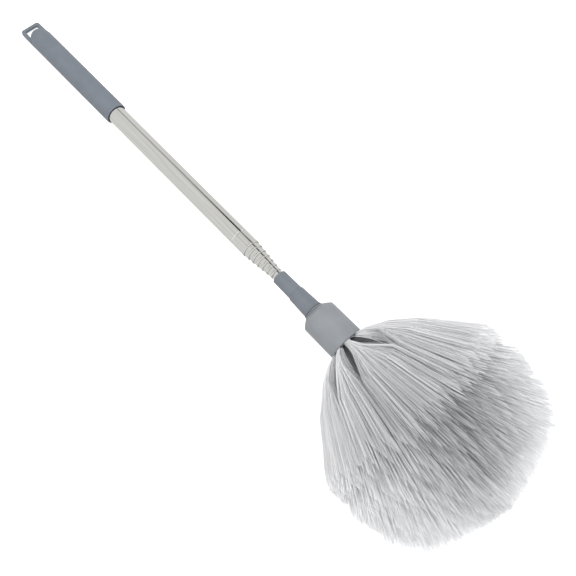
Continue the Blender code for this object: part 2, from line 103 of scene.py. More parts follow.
def linearColour(hexColour):
    channels = [int(hexColour[start:start + 2], 16) / 255 for start in (1, 3, 5)]
    return (*(c / 12.92 if c <= 0.04045 else ((c + 0.055) / 1.055) ** 2.4 for c in channels), 1)


def addNode(tree, kind, inputs=None, links=None, **settings):
    node = tree.nodes.new(kind)
    for name, value in settings.items():
        setattr(node, name, value)
    for name, value in (inputs or {}).items():
        node.inputs[name].default_value = value
    for name, socket in (links or {}).items():
        tree.links.new(socket, node.inputs[name])
    return node


def newMaterial(name):
    material = bpy.data.materials.new(name)
    material.use_nodes = True
    tree = material.node_tree
    return material, tree, tree.nodes["Principled BSDF"]


def setRamp(ramp, stops):
    elements = ramp.color_ramp.elements
    while len(elements) < len(stops):
        elements.new(0.5)
    for element, (position, hexColour) in zip(elements, stops):
        element.position = position
        element.color = linearColour(hexColour)


# How many cells of a pattern fit in a metre, from the size of one
def perMetre(cellSize):
    return 1000 / cellSize


# Moulded plastic has the fine bite of a spark-worn mould in its skin, which breaks up its shine,
# and a faint cloudiness where the melt has flowed.
def mouldedPlastic(name, colours, roughness, biteSize, biteDepth, cloudSize=14, ior=1.49):
    material, tree, shader = newMaterial(name)
    place = addNode(tree, "ShaderNodeTexCoord")
    cloud = addNode(
        tree, "ShaderNodeTexNoise", {"Scale": perMetre(cloudSize), "Detail": 3.0},
        {"Vector": place.outputs["Object"]},
    )
    tone = addNode(tree, "ShaderNodeValToRGB", links={"Fac": cloud.outputs["Fac"]})
    setRamp(tone, [(0.3, colours[0]), (0.7, colours[1])])
    bite = addNode(
        tree, "ShaderNodeTexNoise", {"Scale": perMetre(biteSize), "Detail": 2.0},
        {"Vector": place.outputs["Object"]},
    )
    shine = addNode(
        tree, "ShaderNodeMapRange",
        {"To Min": roughness - 0.06, "To Max": roughness + 0.06}, {"Value": bite.outputs["Fac"]},
    )
    skin = addNode(
        tree, "ShaderNodeBump", {"Strength": 0.5, "Distance": biteDepth * mm},
        {"Height": bite.outputs["Fac"]},
    )
    tree.links.new(tone.outputs["Color"], shader.inputs["Base Color"])
    tree.links.new(shine.outputs["Result"], shader.inputs["Roughness"])
    tree.links.new(skin.outputs["Normal"], shader.inputs["Normal"])
    shader.inputs["IOR"].default_value = ior
    return material


# The drawing die leaves fine lines along a tube. They are a few hundredths of a millimetre wide on
# the real one and drawn coarser here, so that they show.
def drawnSteel(name, values):
    material, tree, shader = newMaterial(name)
    place = addNode(tree, "ShaderNodeTexCoord")
    width, length = values["lineWidth"] * mm, values["lineLength"] * mm
    stretch = addNode(
        tree, "ShaderNodeMapping",
        {"Location": loopTip, "Rotation": poleFrame.to_euler(), "Scale": (width, width, length)},
        {"Vector": place.outputs["Object"]}, vector_type="TEXTURE",
    )
    lines = addNode(
        tree, "ShaderNodeTexNoise", {"Scale": 1.0, "Detail": 3.0, "Roughness": 0.6},
        {"Vector": stretch.outputs["Vector"]},
    )
    tone = addNode(tree, "ShaderNodeValToRGB", links={"Fac": lines.outputs["Fac"]})
    setRamp(tone, [(0.3, values["colours"][0]), (0.7, values["colours"][1])])
    low, high = values["roughness"]
    shine = addNode(
        tree, "ShaderNodeMapRange", {"To Min": low, "To Max": high},
        {"Value": lines.outputs["Fac"]},
    )
    grooves = addNode(
        tree, "ShaderNodeBump", {"Strength": 0.3, "Distance": values["lineDepth"] * mm},
        {"Height": lines.outputs["Fac"]},
    )
    tree.links.new(tone.outputs["Color"], shader.inputs["Base Color"])
    tree.links.new(shine.outputs["Result"], shader.inputs["Roughness"])
    tree.links.new(grooves.outputs["Normal"], shader.inputs["Normal"])
    shader.inputs["Metallic"].default_value = 1.0
    # Steel shines less at a steep slant than a mirror would
    shader.inputs["Specular Tint"].default_value = linearColour(values["slantColour"])
    return material


# Extruded filaments differ a little in grey. Painted shade darkens their roots deep in the head, one side
# of the head and the tips on that side.
# How grey one is, with its side's painted shade, how deep in the head each point lies and how shaded its
# tip is are stored with the filament.
def extrudedFilament(name, values):
    material, tree, shader = newMaterial(name)
    colour = None
    for attribute in ("shade", "depth", "ends"):
        stored = addNode(tree, "ShaderNodeAttribute", attribute_name=attribute)
        tone = addNode(tree, "ShaderNodeValToRGB", links={"Fac": stored.outputs["Fac"]})
        setRamp(tone, values[attribute])
        tint = tone.outputs["Color"]
        colour = multiplyColours(tree, colour, tint) if colour else tint
    tree.links.new(colour, shader.inputs["Base Color"])
    shader.inputs["Roughness"].default_value = values["roughness"]
    shader.inputs["IOR"].default_value = 1.49
    return material


def multiplyColours(tree, first, second):
    mix = addNode(tree, "ShaderNodeMix", data_type="RGBA", blend_type="MULTIPLY")
    mix.inputs[0].default_value = 1.0
    tree.links.new(first, mix.inputs[6])
    tree.links.new(second, mix.inputs[7])
    return mix.outputs[2]


gripPlastic = mouldedPlastic("mouldedPolypropyleneGrip", ("#656C74", "#6A7179"), 0.5, 0.5, 0.02)
socketPlastic = mouldedPlastic("mouldedPolypropyleneSocket", ("#676D74", "#6D727A"), 0.45, 0.4, 0.015)
capPlastic = mouldedPlastic("mouldedPolypropyleneCap", ("#7D8185", "#84888C"), 0.4, 0.4, 0.01)
blockPlastic = mouldedPlastic("mouldedPolyethyleneBlock", ("#92949A", "#9A9CA0"), 0.55, 0.5, 0.02)
bushNylon = mouldedPlastic("mouldedNylonBush", ("#DCDCD6", "#E2E2DC"), 0.4, 0.6, 0.01, ior=1.53)
tubeSteel = drawnSteel("drawnStainlessSteel", dict(
    colours=("#BDBCB9", "#D3D3CF"), slantColour="#F4F4F0", roughness=(0.08, 0.2), lineWidth=0.9,
    lineLength=90, lineDepth=0.008,
))
screwSteel = drawnSteel("zincPlatedSteel", dict(
    colours=("#AFB1B5", "#B8BABE"), slantColour="#B0B0B4", roughness=(0.28, 0.4), lineWidth=0.4,
    lineLength=2, lineDepth=0.004,
))
filamentPlastic = extrudedFilament("extrudedPolypropyleneFilament", dict(
    shade=[
        (0.0, "#3E3F42"), (0.25, "#9C9D9F"), (0.5, "#CBCCCE"), (0.75, "#EAEBED"), (1.0, "#FEFEFF"),
    ],
    depth=[(0.0, "#56575A"), (0.25, "#7B7C7E"), (0.78, "#CDCDCE"), (1.0, "#FFFFFF")],
    ends=[(0.0, "#B0B0B0"), (1.0, "#FFFFFF")],
    roughness=0.45,
))
print("materials are made")


# Piece making

# Puts a mesh that is built in millimetres along the pole's frame in its place
def placePiece(name, mesh, materials, body, nodes=()):
    mesh.name = name
    mesh.transform(poleFrame @ Matrix.Scale(mm, 4))
    for material in materials:
        mesh.materials.append(material)
    piece = bpy.data.objects.new(name, mesh)
    bpy.context.scene.collection.objects.link(piece)
    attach(piece, body)
    if nodes:
        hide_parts(*nodes)
    return piece


def smoothMesh(mesh, angle=32):
    mesh.shade_smooth()
    mesh.set_sharp_from_angle(angle=math.radians(angle))


# Rounds the corners of an outline. A corner is (radius, place) or (radius, place, fillet).
def roundedOutline(corners, closed, steps=5):
    outline = []
    count = len(corners)
    for index, corner in enumerate(corners):
        point = Vector(corner[:2])
        fillet = corner[2] if len(corner) > 2 else 0
        atEnd = not closed and index in (0, count - 1)
        if not fillet or atEnd:
            outline.append(point)
            continue
        before = Vector(corners[index - 1][:2]) - point
        after = Vector(corners[(index + 1) % count][:2]) - point
        half = before.angle(after) / 2
        reach = min(fillet / math.tan(half), 0.49 * before.length, 0.49 * after.length)
        start = point + before.normalized() * reach
        end = point + after.normalized() * reach
        for step in range(steps + 1):
            share = step / steps
            # A rational quadratic with this weight is a true arc
            weights = ((1 - share) ** 2, 2 * share * (1 - share) * math.sin(half), share**2)
            outline.append(
                (start * weights[0] + point * weights[1] + end * weights[2]) / sum(weights)
            )
    return outline


# Spins an outline about the pole. One that starts on the axis ends on it too.
def turnedMesh(corners, sides=96):
    closed = corners[0][0] > 1e-6
    outline = roundedOutline(corners, closed)
    bm = bmesh.new()
    points = [bm.verts.new((point.x, 0, point.y)) for point in outline]
    edges = [bm.edges.new(pair) for pair in zip(points, points[1:])]
    if closed:
        edges.append(bm.edges.new((points[-1], points[0])))
    bmesh.ops.spin(
        bm, geom=points + edges, cent=(0, 0, 0), axis=(0, 0, 1), dvec=(0, 0, 0),
        angle=math.tau, steps=sides, use_merge=True,
    )
    bmesh.ops.remove_doubles(bm, verts=bm.verts, dist=0.0005)
    bmesh.ops.recalc_face_normals(bm, faces=bm.faces)
    mesh = bpy.data.meshes.new("turned")
    bm.to_mesh(mesh)
    bm.free()
    return mesh


def turnPiece(name, corners, material, body, nodes, sides=96):
    mesh = turnedMesh(corners, sides)
    smoothMesh(mesh)
    return placePiece(name, mesh, [material], body, nodes)


# Grip with its dome and hanging loop
grip = dict(
    radius=13.25, domeLength=17.5, mouthRound=0.9, boreRadius=11.3, boreBottom=23.5, leadIn=1.6,
    leadInDepth=0.55, inset=0.03, loopReach=12.5, loopThickness=4.6, loopTipWidth=25.6, endBar=4.0,
    sideBar=4.4, corner=4.0, windowCorner=1.5, edgeRound=0.75, loopDrop=1.5, loopRoll=-8.7,
    runOut=9.0, runOutInset=1.4,
)


def arcPoints(centre, radius, start, end, steps=8):
    for step in range(steps + 1):
        angle = math.radians(mixed(start, end, step / steps))
        yield (centre[0] + radius * math.cos(angle), centre[1] + radius * math.sin(angle))


# The loop is a plate across X with a window, and its edges are rounded all round
def loopPlate(values, radius):
    half = values["loopTipWidth"] / 2
    shoulder = values["loopReach"] + values["domeLength"]
    corner = values["corner"]
    rim = [
        (radius - values["runOutInset"], shoulder + values["runOut"]),
        (-radius + values["runOutInset"], shoulder + values["runOut"]),
        (-radius + 0.15, shoulder - 2),
    ]
    end = corner + values["inset"]
    rim += arcPoints((corner - half, end), corner, 180, 270)
    rim += arcPoints((half - corner, end), corner, 270, 360)
    rim += [(radius - 0.15, shoulder - 2)]
    side, small = half - values["sideBar"], values["windowCorner"]
    depth = values["loopReach"] + values["domeLength"] / 2
    window = [(side, depth), (-side, depth)]
    window += arcPoints((small - side, values["endBar"] + small), small, 180, 270, 5)
    window += arcPoints((side - small, values["endBar"] + small), small, 270, 360, 5)
    bm = bmesh.new()
    low = values["loopDrop"] - values["loopThickness"] / 2
    edges = []
    for ring in (rim, window):
        points = [bm.verts.new((low, width, place)) for width, place in ring]
        edges += [bm.edges.new(pair) for pair in zip(points, points[1:] + points[:1])]
    bmesh.ops.triangle_fill(bm, use_beauty=True, edges=edges)
    raised = bmesh.ops.extrude_face_region(bm, geom=list(bm.faces))
    verts = [item for item in raised["geom"] if isinstance(item, bmesh.types.BMVert)]
    bmesh.ops.translate(bm, verts=verts, vec=(values["loopThickness"], 0, 0))
    bmesh.ops.recalc_face_normals(bm, faces=bm.faces)
    sharp = [edge for edge in bm.edges if edge.calc_face_angle(0) > math.radians(60)]
    bmesh.ops.bevel(
        bm, geom=sharp, offset=values["edgeRound"], segments=4, profile=0.5, affect="EDGES",
        clamp_overlap=True,
    )
    bmesh.ops.rotate(
        bm, verts=bm.verts, cent=(0, 0, 0),
        matrix=Matrix.Rotation(math.radians(values["loopRoll"]), 3, "Z"),
    )
    bmesh.ops.recalc_face_normals(bm, faces=bm.faces)
    mesh = bpy.data.meshes.new("loopPlate")
    bm.to_mesh(mesh)
    bm.free()
    return mesh


# Joins or cuts meshes with helper objects that don't stay in the scene
def combined(base, operations):
    holder = bpy.data.objects.new("combined", base)
    bpy.context.scene.collection.objects.link(holder)
    helpers = []
    for operation, mesh in operations:
        helper = bpy.data.objects.new("helper", mesh)
        bpy.context.scene.collection.objects.link(helper)
        modifier = holder.modifiers.new("combine", "BOOLEAN")
        modifier.operation = operation
        modifier.solver = "EXACT"
        modifier.object = helper
        helpers.append(helper)
    bpy.context.view_layer.update()
    result = bpy.data.meshes.new_from_object(
        holder.evaluated_get(bpy.context.evaluated_depsgraph_get())
    )
    for item in (holder, *helpers):
        bpy.data.objects.remove(item)
    return result


def makeGrip(values):
    mouth = nodeSize("grip_handle")[1]
    radius = values["radius"] - values["inset"]
    shoulder = values["loopReach"] + values["domeLength"]
    dome = []
    for step in range(25):
        angle = math.pi / 2 * step / 24
        dome.append((radius * math.sin(angle), shoulder - values["domeLength"] * math.cos(angle)))
    dome[0] = (0, values["loopReach"])
    body = turnedMesh(dome + [(radius, mouth, values["mouthRound"]), (0, mouth)], 128)
    bore = values["boreRadius"]
    flare = bore + values["leadInDepth"]
    hole = turnedMesh([
        (0, values["boreBottom"]), (bore, values["boreBottom"], 0.4),
        (bore, mouth - values["leadIn"], 0.4),
        (flare, mouth - 0.4), (flare, mouth + 10), (0, mouth + 10),
    ], 128)
    mesh = combined(body, [("UNION", loopPlate(values, radius)), ("DIFFERENCE", hole)])
    smoothMesh(mesh, 28)
    return placePiece("gripWithLoop", mesh, [gripPlastic], "handle", ["grip_handle"])


makeGrip(grip)
print("the grip and its loop are made")


# Steel tubes and the bushes between them
tube = dict(
    count=8, wall=0.3, space=0.4, lipGap=0.3, lipLength=1.2, lipRound=0.35, beadHeight=0.42,
    beadLength=2.3, ringSetback=20.2, ringWidth=1.4, ringDepth=0.25, bushGap=0.05, bushEdge=0.12,
)


def tubeRadius(values, number):
    return nodeSize("outer_tube")[2] - (number - 1) * (values["wall"] + values["space"])


# The ring is rolled into the wall, so the wall keeps its thickness there
def rolledRing(values, radius, place, direction):
    points = []
    for step in range(-6, 7):
        share = direction * step / 6
        dip = values["ringDepth"] * (1 + math.cos(math.pi * share)) / 2
        points.append((radius - dip, place + share * values["ringWidth"] / 2))
    return points


def tubeCorners(values, number, name):
    rear, front, _ = nodeSize(name)
    outside = tubeRadius(values, number)
    inside = outside - values["wall"]
    if number == values["count"]:
        return [(outside, rear, 0.1), (outside, front, 0.1), (inside, front), (inside, rear)]
    lip = tubeRadius(values, number + 1) + values["lipGap"]
    ring = front - values["ringSetback"]
    return [
        (outside, rear, 0.1),
        *rolledRing(values, outside, ring, 1),
        (outside, front - values["beadLength"], 0.15),
        (outside + values["beadHeight"], front - values["beadLength"] * 0.7, 0.4),
        (outside + values["beadHeight"], front - values["lipRound"], 0.5),
        (outside - values["lipRound"], front, 0.2),
        (lip, front, 0.1),
        (lip, front - values["lipLength"], 0.1),
        (inside, front - values["lipLength"] - values["wall"], 0.2),
        *rolledRing(values, inside, ring, -1),
        (inside, rear),
    ]


def makePole(values):
    turnPiece(
        "outerTube", tubeCorners(values, 1, "outer_tube"), tubeSteel, "handle",
        ["outer_tube"],
    )
    for number in range(2, values["count"] + 1):
        last = number == values["count"]
        turnPiece(
            f"tube{number}", tubeCorners(values, number, f"tube_{number}"), tubeSteel,
            "head" if last else f"section_{number}", [f"tube_{number}"],
        )
        rear, front, _ = nodeSize(f"friction_bush_{number}")
        inside = tubeRadius(values, number) + values["bushGap"]
        outside = tubeRadius(values, number - 1) - values["wall"] - values["bushGap"]
        edge = values["bushEdge"]
        turnPiece(
            f"frictionBush{number}",
            [(outside, rear, edge), (outside, front, edge), (inside, front), (inside, rear)],
            bushNylon, "last_bush" if last else f"section_{number}",
            [f"friction_bush_{number}"],
        )


makePole(tube)
print("the tubes and bushes are made")


# Connector on the thinnest tube, and the head's socket and cap
connector = dict(
    rearRadius=8.55, frontRadius=8.85, length=27.65, rearRound=1.1, boreDepth=20, boreGap=0.3,
    spigotRadius=6.5, spigotRound=0.8,
)
socket = dict(
    rearRadius=9.7, frontRadius=10.85, length=31.5, rearRound=0.5, bead=0.55, beadWidth=1.5,
    grooveWidth=0.9, grooveDepth=0.9, collarRadius=13.5, collarThickness=3.0, collarRound=0.6,
    collarNotch=1.0, collarNotchDepth=1.3, boreRadius=6.8, boreDepth=24, screwHole=2.2,
    bossRadius=8.5,
)
cap = dict(
    length=49, proud=4.5, shoulderRadius=16, rearRadius=20.6, mouthRadius=20.9, chamfer=4.5,
    wall=1.5, floor=2.6, holeRadius=8.8, shoulderRound=0.9, edgeRound=1.1, rimRound=0.5,
)


def makeConnector(values):
    rear, front, _ = nodeSize("pole_connector")
    bore = tubeRadius(tube, tube["count"]) + values["boreGap"]
    end = rear + values["length"]
    turnPiece("poleConnector", [
        (0, front),
        (values["spigotRadius"], front, values["spigotRound"]),
        (values["spigotRadius"], end),
        (values["frontRadius"], end, 0.15),
        (values["rearRadius"], rear, values["rearRound"]),
        (bore, rear, 0.3),
        (bore, rear + values["boreDepth"]),
        (0, rear + values["boreDepth"]),
    ], socketPlastic, "head", ["pole_connector"])


def makeSocket(values):
    rear, front, _ = nodeSize("head_socket")
    seat = rear + values["length"]
    coneEnd = seat - values["collarThickness"]
    grooveStart = coneEnd - values["grooveWidth"]
    beadStart = grooveStart - values["beadWidth"]
    beadRadius = values["frontRadius"] + values["bead"]
    grooveRadius = values["frontRadius"] - values["grooveDepth"]
    collar, notch = values["collarRadius"], values["collarRadius"] - values["collarNotchDepth"]
    turnPiece("socketCollar", [
        (values["bossRadius"], seat),
        (notch, seat, 0.2),
        (notch, seat - values["collarNotch"], 0.2),
        (collar, seat - values["collarNotch"], 0.3),
        (collar, seat - values["collarThickness"] / 2, values["collarRound"]),
        (values["frontRadius"] + 1.1, coneEnd, 0.4),
        (values["bossRadius"], coneEnd),
    ], capPlastic, "head", ["head_socket"])
    turnPiece("headSocket", [
        (values["screwHole"], front, 0.2),
        (values["bossRadius"], front, 0.4),
        (values["bossRadius"], coneEnd),
        (grooveRadius, coneEnd, 0.2),
        (grooveRadius, grooveStart, 0.2),
        (beadRadius, grooveStart, 0.5),
        (beadRadius, beadStart, 0.5),
        (values["frontRadius"] - 0.05, beadStart - 0.1, 0.3),
        (values["rearRadius"], rear, values["rearRound"]),
        (values["boreRadius"], rear, 0.3),
        (values["boreRadius"], rear + values["boreDepth"]),
        (values["screwHole"], rear + values["boreDepth"]),
    ], socketPlastic, "head", ["head_socket"])


def makeCap(values):
    rear, _, _ = nodeSize("bristle_cap")
    mouth = rear + values["length"]
    bore = values["rearRadius"] - values["wall"]
    turnPiece("bristleCap", [
        (bore, mouth, 0.3),
        (values["mouthRadius"], mouth, values["rimRound"]),
        (values["rearRadius"], rear + values["chamfer"], values["edgeRound"]),
        (values["shoulderRadius"], rear, values["shoulderRound"]),
        (values["holeRadius"], rear, 0.2),
        (values["holeRadius"], rear + values["floor"]),
        (values["shoulderRadius"], rear + values["floor"]),
        (bore, rear + values["floor"] + values["chamfer"]),
    ], capPlastic, "head", ["bristle_cap"], sides=128)


makeConnector(connector)
makeSocket(socket)
makeCap(cap)
print("the connector, socket and cap are made")


# Backing that the bristles are rooted in, just proud of the cap's mouth
backing = dict(
    outside=18.8, inside=2.4, depth=12, rings=4, gap=0.3, grooveDepth=0.8, edge=0.2, proud=0.5,
)


def makeBacking(values):
    capMouth = nodeSize("bristle_cap")[1] + cap["proud"]
    front = capMouth + values["proud"]
    rear = front - values["depth"]
    width = (values["outside"] - values["inside"]) / values["rings"]
    corners = [(values["inside"], rear), (values["inside"], front)]
    for ring in range(1, values["rings"]):
        place = values["inside"] + width * ring
        corners += [
            (place - values["gap"], front, values["edge"]),
            (place - values["gap"], front - values["grooveDepth"]),
            (place, front - values["grooveDepth"]), (place, front, values["edge"]),
        ]
    corners += [(values["outside"], front, values["edge"]), (values["outside"], rear)]
    turnPiece("bristleBacking", corners, blockPlastic, "head", ())
    return front


sliceFront = makeBacking(backing)

# Bristles. A tier's lean at its roots, the fan of its tips and its reach are given for its inmost
# row of tufts and then for its outmost one, the first two as angles off the axis. The side that
# faces the camera in the photograph is a little less spread and longer than the rest.
cameraSide = 190.5
filament = dict(
    width=0.42, spread=0.3, rings=(0.0, 0.06, 0.17, 0.35, 0.62, 0.994), taper=(1, 1, 1, 1, 1, 0.9),
    rootDepth=1.2, boxGap=0.3, strays=0.006, frayed=0.004, tipSpread=1.08, seed=11,
    tuftYaw=0.15, yaw=0.06, streakLift=0.35, lift=0.07,  # how unevenly they lie
    rootPart=0.6, partStart=0.1, partEnd=0.24, partLength=0.38,  # where the gaps open and close
    toothPeak=0.3, toothSlant=0.7, toothStep=0.25,  # the cut of the ends
    streaks=600, darkStreaks=0.1, streakTone=0.1, darkTone=0.38, toneSpread=0.06,
    flankContrast=0.45, flankDepth=0.25, deepEnd=0.45, endStart=0.4, endLength=0.5,  # painted shade: on the flanks, deep in the head and at the ends
)
# The bundles of the outer tier part at these angles round the pole, each gap with its own width
gaps = (
    (165, 0.95), (203, 0.6), (228, 0.8), (264, 0.4), (300, 0.3), (338, 0.4), (374, 0.5), (410, 0.4),
    (447, 0.5), (487, 0.4),
)
# Each tier's shadedSide and dust paint shade on one side of the head, and rootShade and endShade paint
# shade deep in the head and at the ends
tiers = (
    dict(
        name="bristleCore", node="bristle_core", inside=2.4, outside=6.5, gaps=(), tufts=22, rows=6,
        filaments=48, lean=(2, 24), fan=(0, 22.1), bend=0.23, reach=(231.5, 225.6), ragged=0.03,
        teeth=30, nearLean=0, nearFan=0, nearReach=0, rootShade=0.95, shade=0.94, shadedSide=205,
        sideShade=0.22, endShade=0, contrast=0.5,
    ),
    dict(
        name="bristleInner", node="bristle_ring_inner", inside=6.8, outside=10.6, gaps=(), tufts=54,
        rows=3, filaments=34, lean=(26, 38), fan=(22.6, 33.7), bend=0.23, reach=(228.6, 203.8),
        ragged=0.055, teeth=46, nearLean=0, nearFan=4, nearReach=7, rootShade=0.95, shade=0.89,
        shadedSide=181, sideShade=0.33, endShade=0, contrast=0.5,
    ),
    dict(
        name="bristleMiddle", node="bristle_ring_middle", inside=10.9, outside=14.7, gaps=(), tufts=66,
        rows=3, filaments=30, lean=(42, 54), fan=(34.8, 42.8), bend=0.25, reach=(195.8, 175.9),
        ragged=0.06, teeth=54, nearLean=4, nearFan=7, nearReach=18, rootShade=0.95, shade=0.93,
        shadedSide=175, sideShade=0.41, endShade=0.1, contrast=0.6,
    ),
    dict(
        name="bristleOuter", node="bristle_ring_outer", inside=15.0, outside=18.8, gaps=gaps, tufts=72,
        rows=3, filaments=26, lean=(54, 80), fan=(44.9, 51.4), bend=0.328, reach=(165.9, 150.1),
        ragged=0.075, teeth=56, nearLean=10, nearFan=8, nearReach=19, rootShade=0.06, shade=1,
        shadedSide=188, sideShade=0.08, endShade=0.42, contrast=1,
    ),
)


# Each tuft's bundle, its share of the way across that from one gap to the next, the row of holes
# that it stands in and its own width, all angles in degrees. A tier without gaps is one bundle.
def tuftPlaces(tier, rng):
    starts = [angle for angle, _ in tier["gaps"]] or [rng.random() * 360]
    places = []
    for bundle, start in enumerate(starts):
        end = (starts + [starts[0] + 360])[bundle + 1]
        for row in range(tier["rows"]):
            middle = mixed(tier["inside"], tier["outside"], (row + 0.5) / tier["rows"])
            count = round(tier["tufts"] * middle / tier["outside"] * (end - start) / 360)
            for index in range(count):
                share = (index + 0.25 + 0.5 * (row % 2)) / count
                places.append((start, end, share, row, (end - start) / count, bundle))
    return np.array(places)


def tierFilaments(tier, rng):
    places = tuftPlaces(tier, rng)
    tuftCount = len(places)
    tuft = np.repeat(np.arange(tuftCount), tier["filaments"])
    count = len(tuft)
    start, end, tuftShare, row, cell, bundle = places[tuft].T
    around = (rng.random(count) - 0.5) * cell
    across = (rng.random(count) - 0.5) / tier["rows"]
    tuftMiddle = mixed(start, end, tuftShare)
    # Neighbours that share a fine streak lie a little higher or lower and differ in tone
    streakTone = rng.normal(0, 1, (tier["rows"], filament["streaks"]))
    streakLift = rng.normal(0, 0.5, streakTone.shape)
    streak = (row.astype(int), ((tuftMiddle + around) % 360 * filament["streaks"] / 360).astype(int))
    # The darkest streaks are partly the filaments' own tone and partly painted shade, standing for shadow
    # lines between filaments
    darkest = streakTone[streak] < np.quantile(streakTone, filament["darkStreaks"])
    # Near a gap the bundle draws in by that gap's width
    widths = np.array([width for _, width in tier["gaps"]] or [0.0])
    toGap = (tuftShare - 0.5) * 2
    gather = np.where(toGap < 0, widths[bundle.astype(int)], np.roll(widths, -1)[bundle.astype(int)])
    drawIn = gather * toGap * (end - start) / 2
    # The ends are cut to uneven teeth, which the rows of a tier share
    toothPlace = (tuftMiddle + around) % 360 * tier["teeth"] / 360
    tooth = toothPlace.astype(int)
    slant = np.abs(toothPlace - tooth - filament["toothPeak"])
    steepness = mixed(1 - filament["toothSlant"], 1, rng.random(tier["teeth"]))[tooth]
    cut = steepness * slant / filament["toothSlant"]
    cut = cut + filament["toothStep"] * rng.random(tier["teeth"])[tooth]
    reachShare = (1 - tier["ragged"] * cut) * (1 - filament["frayed"] * rng.random(count))
    yaw = rng.normal(0, filament["tuftYaw"], tuftCount)[tuft]
    yaw = yaw + rng.normal(0, filament["yaw"], count)
    lift = filament["streakLift"] * streakLift[streak] + rng.normal(0, filament["lift"], count)
    facing = np.clip(np.cos(np.radians(tuftMiddle - cameraSide)), 0, 1) ** 2
    # A few filaments stray across the gaps
    kept = rng.random(count) > filament["strays"]
    shares = (*filament["rings"], 1.0)
    points = np.empty((count, len(shares), 3))
    for index, ringShare in enumerate(shares):
        share = ringShare * reachShare
        parted = mixed(filament["rootPart"], 1, smoothStep(share / filament["partStart"]))
        parted = parted * (1 - smoothStep((share - filament["partEnd"]) / filament["partLength"]))
        wider = mixed(1.0, filament["tipSpread"], smoothStep((share - 0.3) / 0.7))
        angle = np.radians(tuftMiddle - drawIn * parted * kept + around * wider + yaw * share**2)
        place = np.clip((row + 0.5) / tier["rows"] + across * wider, 0, 1)
        rootRadius = mixed(tier["inside"], tier["outside"], place)
        lean = np.radians(mixed(*tier["lean"], place) - tier["nearLean"] * facing)
        fan = np.radians(mixed(*tier["fan"], place) + lift * share - tier["nearFan"] * facing)
        reach = mixed(*tier["reach"], place) + tier["nearReach"] * facing
        tipAhead, tipOut = reach * np.cos(fan), reach * np.sin(fan)
        way = np.hypot(tipAhead, tipOut - rootRadius) * tier["bend"]
        bendAhead, bendOut = np.cos(lean) * way, rootRadius + np.sin(lean) * way
        first, second, third = (1 - share) ** 2, 2 * share * (1 - share), share**2
        ahead = -filament["rootDepth"] * first + bendAhead * second + tipAhead * third
        out = rootRadius * first + bendOut * second + tipOut * third
        points[:, index] = np.stack(
            (out * np.cos(angle), out * np.sin(angle), sliceFront + ahead), axis=1
        )
    # Painted shade: each tier is darker on one side of the head, near its upper side, and lighter on its
    # flanks, where light comes through the thinner head; its streaks show more strongly on the shaded side
    shadedShare = np.clip(np.cos(np.radians(tuftMiddle - tier["shadedSide"])), 0, 1) ** 4
    shade = tier["shade"] - tier["sideShade"] * shadedShare
    lines = filament["streakTone"] * streakTone[streak] - filament["darkTone"] * darkest
    lines = lines + rng.normal(0, filament["toneSpread"], count)
    shade = shade + tier["contrast"] * mixed(filament["flankContrast"], 1, np.sqrt(shadedShare)) * lines
    return keptInBox(points), np.clip(shade, 0.0, 1.0), np.sqrt(shadedShare)


# Draws points that would leave the CAD's box or sink into the floor in towards the axis
def keptInBox(points):
    low, high = (np.array(corner) / mm for corner in cadBox)
    tip = loopTip / mm
    axisZ = tip[2] + points[..., 2] * poleBasis[2, 2]
    offZ = points[..., 0] * poleBasis[0, 2]
    offY = np.abs(points[..., 1])
    room = filament["boxGap"]
    keep = np.ones(points.shape[:-1])
    sinks = offZ < 0
    keep = np.where(sinks, np.minimum(keep, (axisZ - low[2] - room) / np.maximum(-offZ, 1e-6)), keep)
    keep = np.where(~sinks, np.minimum(keep, (high[2] - room - axisZ) / np.maximum(offZ, 1e-6)), keep)
    keep = np.minimum(keep, (high[1] - room - abs(tip[1])) / np.maximum(offY, 1e-6))
    points[..., :2] *= np.clip(keep, 0, 1)[..., None]
    return points


